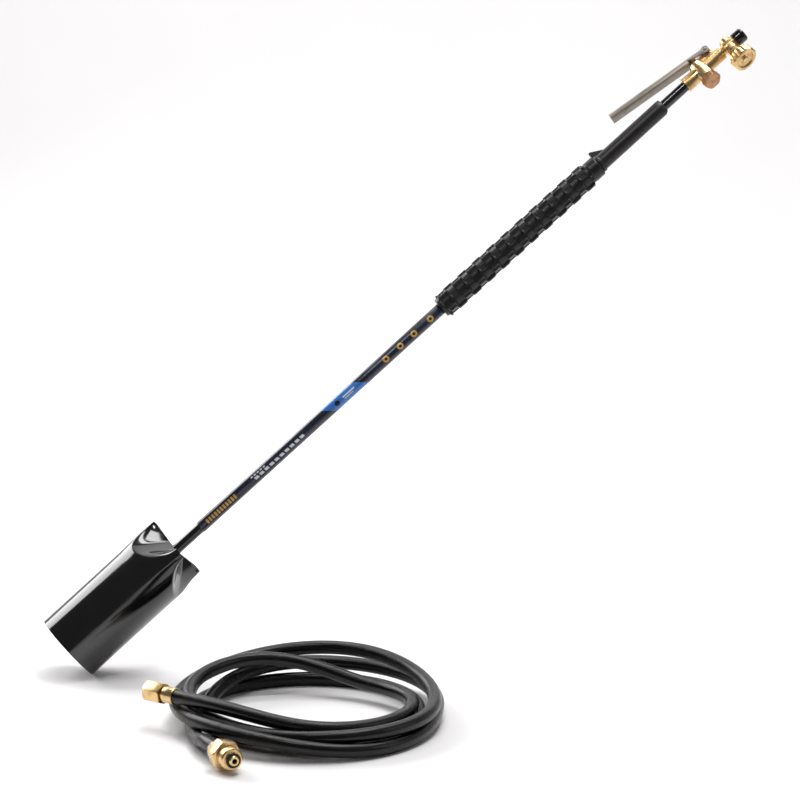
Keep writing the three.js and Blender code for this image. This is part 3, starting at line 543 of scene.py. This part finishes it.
@dataclass(frozen=True)
class PrintMark:
    """A plain shape printed on the sleeve: a bar, a slanted band or a disc."""

    colour: str
    at: float
    across: float
    half_length: float
    half_width: float
    slant: float = 0.0
    disc: bool = False

    def mask(self, sheet: Sheet, around: object, along: object) -> bpy.types.NodeSocket:
        """Adds the nodes that are 1 inside the mark and 0 outside.

        Args:
            sheet: Node tree to add to.
            around: Millimetres around from the side that faces the camera.
            along: Millimetres along from the bell's mouth.

        Returns:
            The mask.
        """
        side = sheet.maths("SUBTRACT", around, self.across)
        lean = sheet.maths("MULTIPLY", side, self.slant)
        run = sheet.maths("SUBTRACT", sheet.maths("SUBTRACT", along, self.at), lean)
        if self.disc:
            far = sheet.maths("SQRT", sheet.maths(
                "ADD", sheet.maths("POWER", run, 2.0), sheet.maths("POWER", side, 2.0)))
            return sheet.ramp(far, self.half_width - 0.2, self.half_width + 0.2, (1, 0))
        inside = sheet.ramp(sheet.maths("ABSOLUTE", run), self.half_length - 0.25,
                            self.half_length + 0.25, (1, 0))
        within = sheet.ramp(sheet.maths("ABSOLUTE", side), self.half_width - 0.25,
                            self.half_width + 0.25, (1, 0))
        return sheet.maths("MULTIPLY", inside, within)


GOLD, WHITE, SKY, INK = "#c79b45", "#dfe1e5", "#3271bd", "#141826"


def print_marks() -> list[PrintMark]:
    """The sleeve's marks, from the bell's side to the grip's.

    Returns:
        Gold and white bars, a blue slanted band and four round badges.
    """
    marks = [PrintMark(GOLD, 194 + 3.8 * k, 0.4, 1.2, 2.6) for k in range(11)]
    marks += [PrintMark(WHITE, 262 + 7.0 * k, 1.0, 2.4, 1.5, 0.3) for k in range(10)]
    marks += [PrintMark(WHITE, 258 + 4.2 * k, -2.6, 1.3, 0.8) for k in range(5)]
    marks += [PrintMark(SKY, 385, 0, 22, 9, 1.1)]
    marks += [PrintMark(INK, 375, 0.4, 0, 3.0, disc=True),
              PrintMark(WHITE, 391, -0.4, 8, 0.8), PrintMark(WHITE, 390, 2.0, 6, 0.4)]
    for place in (443, 463, 482, 505):
        marks += [PrintMark(GOLD, place, 0.4, 0, 3.6, disc=True),
                  PrintMark(INK, place, 0.4, 0, 1.6, disc=True)]
    return marks


# ---- The wand --------------------------------------------------------------------------------
@dataclass(frozen=True)
class Bell:
    """The burner bell: a thin tube whose back edge is folded in three between three ears."""

    samples: int = 30
    stations: int = 40
    softness: float = 0.05
    bulge: float = 3.1

    def folded_sixth(self) -> np.ndarray:
        """Half a tongue, an ear's wall and half its blunt tip, as evenly spaced points.

        Returns:
            Array of samples + 1 points, across the bell, in millimetres.
        """
        tip, ear = BELL_RADIUS, math.pi / 3
        start = ear - EAR_HALF_ANGLE
        corner = np.array([TONGUE_RADIUS, TONGUE_WIDTH / 2])
        shoulder = tip * np.array([math.cos(start), math.sin(start)])
        turn = np.linspace(start, ear, 8)
        arc = tip * np.stack([np.cos(turn), np.sin(turn)], 1)
        path = np.vstack([[TONGUE_RADIUS, 0], corner, shoulder, arc[1:]])
        travelled = np.append(0, np.cumsum(np.linalg.norm(np.diff(path, axis=0), axis=1)))
        wanted = np.linspace(0, travelled[-1], self.samples + 1)
        return np.stack([np.interp(wanted, travelled, path[:, k]) for k in (0, 1)], 1)

    def outline(self, fold: float) -> np.ndarray:
        """The bell's outline at a fold of 0, round, to 1, three tongues and three ears."""
        sixth = self.folded_sixth()
        angle = np.linspace(0, math.pi / 3, self.samples + 1)
        circle = BELL_RADIUS * np.stack([np.cos(angle), np.sin(angle)], 1)
        blend = circle + (sixth - circle) * fold
        mirrored = (blend * (1, -1))[::-1]
        third = np.vstack([mirrored[:-1], blend[:-1]])
        turns = [2 * math.pi / 3 * k for k in range(3)]
        spins = [np.array([[math.cos(t), math.sin(t)], [-math.sin(t), math.cos(t)]]) for t in turns]
        whole = np.vstack([third @ spin for spin in spins])
        soft = (np.roll(whole, 1, 0) + 2 * whole + np.roll(whole, -1, 0)) / 4
        return whole + (soft - whole) * min(1.0, fold * 3)

    def crease(self) -> np.ndarray:
        """Where each column of the outline starts to fold: deepest in a tongue's middle."""
        share = np.linspace(0, 1, self.samples + 1)
        sixth = BELL_LENGTH - EAR_DEPTH - (CRIMP_DEPTH - EAR_DEPTH) * (1 - share**2)
        return np.tile(np.append(sixth[::-1][:-1], sixth[:-1]), 3)

    def build(self, material: bpy.types.Material) -> None:
        """Makes the bell, with its wall's thickness, in place of the CAD's.

        Args:
            material: The bell's material.
        """
        share = np.linspace(0, 1, self.stations)
        column = np.linspace(0, 1, self.samples + 1)
        folds = (np.sqrt(share**2 + self.softness**2) - self.softness) / (
            math.sqrt(1 + self.softness**2) - self.softness
        )
        straight = np.linspace(0, 1, 8)[:-1]
        outer = np.stack([self.outline(fold) for fold in np.append(np.zeros(7), folds)])
        tangent = np.roll(outer, -1, 1) - np.roll(outer, 1, 1)
        tangent /= np.linalg.norm(tangent, axis=2, keepdims=True)
        inward = np.stack([-tangent[..., 1], tangent[..., 0]], -1)
        both = np.concatenate([outer, (outer + inward * BELL_WALL)[::-1]])
        crease = self.crease()
        along = np.concatenate(
            [straight[:, None] * crease, crease + share[:, None] * (BELL_LENGTH - crease)]
        )
        along = np.concatenate([along, along[::-1]])
        fold = np.append(np.zeros(7), folds)
        fold = np.concatenate([fold, fold[::-1]])
        reach = np.maximum(0, np.linalg.norm(both, axis=2) - TONGUE_RADIUS) / BELL_RADIUS
        turn = math.pi / 2 + EAR_ANGLE - math.pi / 3
        spin = np.array([[math.cos(turn), math.sin(turn)], [-math.sin(turn), math.cos(turn)]])
        ear = np.tile(np.append(column[::-1][:-1], column[:-1]), 3) ** 3
        rise = np.clip((along - BELL_LENGTH + CRIMP_DEPTH) / CRIMP_DEPTH, 0, 1)
        lift = 1 + self.bulge / BELL_RADIUS * ear * np.sin(rise * 0.75 * math.pi)
        spread = (both * lift[..., None]) @ spin
        forward = along + EAR_OVERHANG * fold[:, None] * reach
        local = np.concatenate([forward[..., None], spread], -1)
        columns = local.shape[1]
        around = np.arange(columns + 1) / columns * 2 * math.pi * BELL_RADIUS
        rows = np.append(along[:, 0], along[0, 0])
        piece = grid_piece("flame_bell_fine", WAND.place(local), rows, around, 60)
        dress(piece, material, "wand", "flame_bell")


def dress(piece: bpy.types.Object, material: bpy.types.Material, body: str, *nodes: str) -> None:
    """Gives a piece its material, its body and the CAD nodes that it stands for."""
    piece.data.materials.clear()
    piece.data.materials.append(material)
    if nodes:
        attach(piece, body)
        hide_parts(*nodes)


@dataclass(frozen=True)
class Grip:
    """Rubber grip with staggered rows of raised blocks between two plain collars."""

    rows_around: int = 8
    pitch: float = 20.0
    groove: float = 2.5
    block_length: float = 13.0
    gap: float = 2.8
    dish: float = 1.1
    collar: float = 0.5
    end_ring: float = 13.0
    end_radius: float = 11.4

    def radius(self, along: np.ndarray, angle: np.ndarray) -> np.ndarray:
        """Outer radius at each place along and around the grip.

        A block is a rounded rectangle: a smooth step over its length times a smooth step
        over its width. Every other row of blocks is moved along by half a pitch.

        Args:
            along: Millimetres from the grip's start.
            angle: Radians around.

        Returns:
            The radius in millimetres.
        """
        length = GRIP_END - GRIP_START
        row = angle / (2 * math.pi) * self.rows_around
        stagger = np.where(np.floor(row) % 2 == 1, self.pitch / 2, 0.0)
        step = (along + stagger) % self.pitch - self.pitch / 2
        side = (row % 1 - 0.5) * 2 * math.pi * GRIP_RADIUS / self.rows_around
        width = math.pi * GRIP_RADIUS / self.rows_around - self.gap / 2
        inside = smooth_step(self.block_length / 2 - np.abs(step), 0.0, 1.4)
        inside = inside * smooth_step(width - np.abs(side), 0.0, 1.4)
        last = length - self.end_ring
        field = smooth_step(along, self.collar + 2.0, self.collar + 3.4)
        field = field * smooth_step(last - 1.0 - along, 0.0, 1.4)
        low = GRIP_RADIUS - self.groove
        bowl = smooth_step(self.block_length / 2 - np.abs(step), 1.6, 3.6)
        bowl = bowl * smooth_step(width - np.abs(side), 1.4, 3.0)
        radius = low + (self.groove * inside - self.dish * bowl) * field
        front = smooth_step(self.collar - along, 0.0, 1.0)
        radius = np.maximum(radius, low + self.groove * front)
        back = smooth_step(along, last, last + 1.2)
        radius = radius + (self.end_radius - radius) * back
        rounding = np.minimum(along, length - along)
        return radius - 1.6 * (1 - np.clip(rounding / 1.6, 0, 1)) ** 2

    def build(self, material: bpy.types.Material) -> None:
        """Makes the grip in place of the CAD's plain sleeve.

        Args:
            material: The grip's material.
        """
        length = GRIP_END - GRIP_START
        along = np.linspace(0, length, 300)
        angle = np.linspace(0, 2 * math.pi, 256, endpoint=False)
        grid_along, grid_angle = np.meshgrid(along, angle, indexing="ij")
        outer = self.radius(grid_along, grid_angle)
        inner = np.full_like(outer[:2], SLEEVE_BORE)
        radius = np.vstack([outer, inner])
        place = np.append(along, [length, 0.0])
        turn = angle + FACING_VIEW + math.radians(10)
        local = np.stack([
            np.broadcast_to((place + GRIP_START)[:, None], radius.shape),
            radius * np.cos(turn), radius * np.sin(turn)], -1)
        around = np.arange(257) / 256 * 2 * math.pi * GRIP_RADIUS
        piece = grid_piece("rubber_grip_fine", WAND.place(local), np.append(place, 0), around)
        dress(piece, material, "wand", "rubber_grip")


def smooth_step(value: np.ndarray, low: float, high: float) -> np.ndarray:
    """A step from 0 to 1 that starts and ends level."""
    share = np.clip((value - low) / (high - low), 0, 1)
    return share**2 * (3 - 2 * share)


@dataclass(frozen=True)
class Handle:
    """Plastic sleeve with a thumb horn on the lever side."""

    horn_top: float = 2.5

    def build(self, material: bpy.types.Material) -> None:
        """Makes the handle in place of the CAD's.

        The horn's outline is the farther of a circle and a narrow upright box, seen from
        the axis, whose height falls in a straight line along the wand.

        Args:
            material: The handle's material.
        """
        profile = np.array([
            (0, HANDLE_RADIUS + 0.4), (0.6, HANDLE_RADIUS + 1), (3, HANDLE_RADIUS + 1),
            (4, HANDLE_RADIUS), (88, HANDLE_RADIUS), (90, HANDLE_RADIUS - 0.6),
            (HANDLE_LENGTH, HANDLE_RADIUS - 1.8)])
        along = np.unique(np.concatenate([
            np.linspace(0, HORN_LENGTH + 1, 40), np.linspace(HORN_LENGTH + 1, HANDLE_LENGTH, 24)]))
        base = np.interp(along, profile[:, 0], profile[:, 1])
        fall = np.clip((along - self.horn_top) / (HORN_LENGTH - self.horn_top), 0, 1)
        crest = HORN_REACH - (HORN_REACH - HANDLE_RADIUS + 0.6) * fall
        crest = crest - 1.2 * np.clip(1 - along / 1.2, 0, 1) ** 2
        angle = np.linspace(0, 2 * math.pi, 288, endpoint=False)
        tilt = np.angle(np.exp(1j * (angle - math.pi / 2)))
        with np.errstate(divide="ignore"):
            sides = HORN_WIDTH / 2 / np.abs(np.sin(tilt))
        facing = np.abs(tilt) < math.pi / 2
        top = np.where(facing, crest[:, None] / np.maximum(np.cos(tilt), 1e-3), 0)
        horn = np.where(facing, np.minimum(np.broadcast_to(sides, top.shape), top), 0)
        outer = np.maximum(base[:, None], horn)
        radius = np.vstack([outer, np.full((2, len(angle)), SLEEVE_BORE)])
        place = np.append(along, [HANDLE_LENGTH, 0.0]) + HANDLE_START
        local = np.stack([np.broadcast_to(place[:, None], radius.shape),
                          radius * np.cos(angle), radius * np.sin(angle)], -1)
        around = np.arange(289) / 288 * 2 * math.pi * HANDLE_RADIUS
        piece = grid_piece("handle_sleeve_fine", WAND.place(local), np.append(place, 0), around, 35)
        dress(piece, material, "wand", "handle_sleeve")


class Wand:
    """The wand: bell, tube, sleeves, grip, valve, lever, knob and cap."""

    AS_BUILT = (
        "burner_jet", "squeeze_valve_body", "hex_plug", "lever_pin", "needle_valve_body",
        "packing_nut", "plunger", "plunger_seal", "lever", "needle_stem", "control_knob",
        "knob_screw", "inlet_cap",
    )

    def __init__(self, materials: Materials, slots: dict[str, str], bodies: dict[str, str]) -> None:
        self.materials = materials
        self.slots = slots
        self.bodies = bodies

    def material(self, node: str) -> bpy.types.Material:
        """The material of a CAD node's slot."""
        return self.materials.made[Slot(self.slots[node])]

    def build(self) -> None:
        """Makes every piece of the wand."""
        Bell().build(self.material("flame_bell"))
        tube = lathe("gas_tube_fine", (
            (TUBE_START, TUBE_BORE_RADIUS), (TUBE_START, TUBE_RADIUS),
            (TUBE_END, TUBE_RADIUS), (TUBE_END, TUBE_BORE_RADIUS)))
        dress(tube, self.material("gas_tube"), "wand", "gas_tube")
        label = lathe("label_sleeve_fine", (
            (LABEL_START, SLEEVE_BORE), (LABEL_START, LABEL_RADIUS - 0.2),
            (LABEL_START + 0.3, LABEL_RADIUS), (LABEL_END - 0.3, LABEL_RADIUS),
            (LABEL_END, LABEL_RADIUS - 0.2), (LABEL_END, SLEEVE_BORE)))
        dress(label, self.material("label_sleeve"), "wand", "label_sleeve")
        Grip().build(self.material("rubber_grip"))
        Handle().build(self.material("handle_sleeve"))
        for node in self.AS_BUILT:
            piece = refined(node, self.bodies[node])
            dress(piece, self.material(node), self.bodies[node])
        self.spring()

    def spring(self) -> None:
        """Copies the plunger's spring as a finer piece that moves with the wand."""
        piece = refined("plunger_spring", "wand", edge=0.02)
        dress(piece, self.material("plunger_spring"), "wand")
        foot = WAND.place(np.array([TUBE_END, 0.0, SPRING_FOOT]))
        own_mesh(piece)


# ---- The hose --------------------------------------------------------------------------------
@dataclass(frozen=True)
class Hose:
    """The gas hose: a lead from the wand's fitting, four loose turns and a tail.

    The lead is the first two of part.mjs's points. The tail's points are this script's own,
    and only the last is part.mjs's. A turn follows its distance from the coil's centre and
    its height at every sixth of a turn. Those distances and heights are a table that a
    fitting program made, not hand-chosen values or a formula, so they aren't an example to
    copy.
    """

    lead: tuple[tuple[float, float, float], ...] = ((-135.5, -12.4, 36.5), (-104, -49, 36.5))
    tail: tuple[tuple[float, float, float], ...] = (
        (-123, -65, 9.5), (-121.5, -86, 13.5), (-118.6, -101.5, 15), (-114.7, -116, 15))
    first_angle: float = 225.0
    reach: tuple[float, ...] = (
        106, 108, 100, 83, 99, 119, 114, 129, 122, 112, 119, 132,
        131, 136, 124, 142, 121, 103, 103, 105, 106, 119, 122, 118)
    height: tuple[float, ...] = (
        33, 22, 21, 20, 38, 30, 19, 21, 26, 42, 37, 22,
        21, 8, 12, 17, 22, 9, 8, 7, 7, 7, 7, 7)
    length: float = 3.048
    sides: int = 24

    def route(self) -> np.ndarray:
        """The points that the hose follows, in the coil's frame, in millimetres."""
        station = self.first_angle + 60.0 * np.arange(len(self.reach))
        angle = np.arange(station[0], station[-1] + 1, 30.0)
        reach = spline(station, np.array(self.reach, float), angle)
        height = spline(station, np.array(self.height, float), angle)
        turn = np.radians(angle)
        turns = np.stack([reach * np.cos(turn), reach * np.sin(turn), height], 1)
        return np.vstack([self.lead, turns, self.tail])

    def centreline(self, floor: float) -> np.ndarray:
        """Even points, about 2 mm apart, on one smooth curve through the route.

        Args:
            floor: Height of the surface that the coil lies on, in metres.

        Returns:
            Points in the row frame, in metres.
        """
        points = self.route()
        gaps = np.linalg.norm(np.diff(points, axis=0), axis=1) ** 0.5
        place = np.append(0, np.cumsum(gaps))
        dense = spline(place, points, np.linspace(0, place[-1], 6000))
        travelled = np.append(0, np.cumsum(np.linalg.norm(np.diff(dense, axis=0), axis=1)))
        wanted = np.linspace(0, travelled[-1], int(travelled[-1] / 2))
        even = np.stack([np.interp(wanted, travelled, dense[:, k]) for k in range(3)], 1)
        return even * MM + np.array([COIL_CENTRE[0] * MM, COIL_CENTRE[1] * MM, floor])

    def build(self, materials: Materials, slots: dict[str, str], bodies: dict[str, str]) -> None:
        """Args:
            materials: The part's materials.
            slots: Material slot of each CAD node.
            bodies: Body of each CAD node.
        """
        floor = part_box("hose_coil")[0].z
        path = self.centreline(floor)
        tangent = np.gradient(path, axis=0)
        tangent /= np.linalg.norm(tangent, axis=1, keepdims=True)
        side = np.cross(tangent, (0.0, 0.0, 1.0))
        side /= np.linalg.norm(side, axis=1, keepdims=True)
        up = np.cross(side, tangent)
        angle = np.linspace(0, 2 * math.pi, self.sides, endpoint=False)
        ring = np.cos(angle)[None, :, None] * side[:, None]
        ring = ring + np.sin(angle)[None, :, None] * up[:, None]
        grid = path[:, None] + ring * (HOSE_DIAMETER / 2 * MM)
        along = np.arange(len(path)) / (len(path) - 1) * self.length / MM
        around = np.arange(self.sides + 1) / self.sides * math.pi * HOSE_DIAMETER
        piece = grid_piece("gas_hose", grid, along, around, capped=True)
        dress(piece, materials.made[Slot.HOSE_RUBBER], "hose",
              "hose_coil", "hose_lead", "hose_tail")
        for node in ("outlet_ferrule", "outlet_nipple", "swivel_nut", "tank_ferrule",
                     "tank_nipple", "tank_nut", "tank_seal"):
            fitting = refined(node, bodies[node])
            dress(fitting, materials.made[Slot(slots[node])], bodies[node])


def spline(at: np.ndarray, values: np.ndarray, wanted: np.ndarray) -> np.ndarray:
    """Natural cubic spline through values at places.

    Args:
        at: Places of the known values, rising.
        values: One value, or one row of values, for each place.
        wanted: Places to work the curve out at.

    Returns:
        The curve's values at the wanted places.
    """
    columns = values.reshape(len(at), -1)
    step = np.diff(at)
    slope = np.diff(columns, axis=0) / step[:, None]
    count = len(at)
    matrix = np.eye(count)
    inner = np.arange(1, count - 1)
    matrix[inner, inner - 1] = step[:-1]
    matrix[inner, inner] = 2 * (step[:-1] + step[1:])
    matrix[inner, inner + 1] = step[1:]
    right = np.zeros_like(columns)
    right[1:-1] = 6 * np.diff(slope, axis=0)
    bend = np.linalg.solve(matrix, right)
    cell = np.clip(np.searchsorted(at, wanted) - 1, 0, count - 2)
    left, width = (wanted - at[cell])[:, None], step[cell][:, None]
    rest = width - left
    curve = (bend[cell] * rest**3 + bend[cell + 1] * left**3) / (6 * width)
    curve += (columns[cell] / width - bend[cell] * width / 6) * rest
    curve += (columns[cell + 1] / width - bend[cell + 1] * width / 6) * left
    return curve.reshape((len(wanted),) + values.shape[1:])


# ---- Studio ----------------------------------------------------------------------------------
@dataclass(frozen=True)
class Softbox:
    """A soft area light aimed at a point."""

    name: str
    place: tuple[float, float, float]
    aim: tuple[float, float, float]
    size: tuple[float, float]
    power: float
    roll: float = 0.0

    def build(self) -> None:
        """Adds the light, rolled about its own beam."""
        data = bpy.data.lights.new(self.name, "AREA")
        data.shape = "RECTANGLE"
        data.size, data.size_y = self.size
        data.energy = self.power
        light = bpy.data.objects.new(self.name, data)
        light.location = self.place
        direction = Vector(self.aim) - Vector(self.place)
        aimed = direction.to_track_quat("-Z", "Y")
        spin = Quaternion((0.0, 0.0, 1.0), math.radians(self.roll))
        light.rotation_euler = (aimed @ spin).to_euler()
        bpy.context.scene.collection.objects.link(light)


@dataclass(frozen=True)
class Studio:
    """Camera, lights and the pale floor that curves up into a backdrop."""

    place: tuple[float, float, float] = (-0.8277, -3.2839, 0.5580)
    turn: tuple[float, float, float] = (78.55, 0.0, -12.54)
    lens: float = 148.5
    lights: tuple[Softbox, ...] = (
        Softbox("key_back_left", (-1.15, 1.05, 0.62), (-0.38, 0, -0.33), (1.3, 1.0), 24),
        Softbox("strip_on_handle", (-0.586, -0.85, 1.414), (0.363, 0, 0.314), (0.5, 0.14), 5, 60),
        Softbox("overhead", (0.3, -0.2, 2.4), (0, 0, 0), (1.3, 1.0), 35),
        Softbox("fill_right", (2.2, -1.2, 1.2), (0, 0, 0), (1.4, 1.4), 10),
        Softbox("backdrop_wash", (0.6, 1.2, 3.0), (0.6, 2.6, 0.4), (3.0, 0.8), 66),
    )

    def camera(self) -> None:
        """Adds the camera at the viewing angle of the reference."""
        data = bpy.data.cameras.new("camera")
        data.lens = self.lens
        data.sensor_width = 36.0
        data.clip_end = 50.0
        camera = bpy.data.objects.new("camera", data)
        camera.location = self.place
        camera.rotation_euler = [math.radians(angle) for angle in self.turn]
        bpy.context.scene.collection.objects.link(camera)
        bpy.context.scene.camera = camera

    def sweep(self, floor: float) -> None:
        """Adds the floor, which bends up into a backdrop in a quarter circle.

        Args:
            floor: Height of the floor, in metres.
        """
        bend = np.linspace(0, math.pi / 2, 24)
        radius, back = 1.2, 1.6
        line = np.array([(-9.0, 0.0), (back, 0.0)]
                        + [(back + radius * math.sin(t), radius * (1 - math.cos(t)))
                           for t in bend[1:]]
                        + [(back + radius, 6.0)])
        wide = np.array([-9.0, 9.0])
        grid = np.stack([np.broadcast_to(wide[None], (len(line), 2)),
                         np.broadcast_to(line[:, :1], (len(line), 2)),
                         np.broadcast_to(line[:, 1:] + floor, (len(line), 2))], -1)
        quads = [(2 * k, 2 * k + 1, 2 * k + 3, 2 * k + 2) for k in range(len(line) - 1)]
        mesh = bpy.data.meshes.new("studio_floor")
        mesh.from_pydata(grid.reshape(-1, 3).tolist(), [], quads)
        soften(mesh, 60)
        sweep = new_object("studio_floor", mesh)
        material, sheet, inputs = principled("studio_paper")
        shade = sheet.mix(sheet.noise(sheet.place(), 3), linear("#f3f1f2"), linear("#f7f6f6"))
        sheet.join(shade, inputs["Base Color"])
        inputs["Roughness"].default_value = 0.7
        mesh.materials.append(material)

    def world(self) -> None:
        """Adds a plain pale surround."""
        world = bpy.data.worlds.new("surround")
        world.use_nodes = True
        background = next(n for n in world.node_tree.nodes if n.type == "BACKGROUND")
        background.inputs["Color"].default_value = linear("#f4f4f8")
        background.inputs["Strength"].default_value = 0.13
        bpy.context.scene.world = world
        bpy.context.scene.view_settings.view_transform = "Standard"

    def build(self, floor: float) -> None:
        """Adds the lights, the floor and the surround."""
        self.world()
        self.sweep(floor)
        for light in self.lights:
            light.build()


def main() -> None:
    """Builds the camera, the hose, the wand and the studio."""
    logging.basicConfig(level=logging.INFO)
    record = frame["record"]
    slots = {part["node"]: part["material_slot"] for part in record["subparts"]}
    bodies = {
        node: body for body, nodes in record["behaviour"]["bodies"].items() for node in nodes
    }
    materials = Materials()
    studio = Studio()
    studio.camera()
    Hose().build(materials, slots, bodies)
    Wand(materials, slots, bodies).build()
    studio.build(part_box("hose_coil")[0].z)


if __name__ == "__main__":
    main()
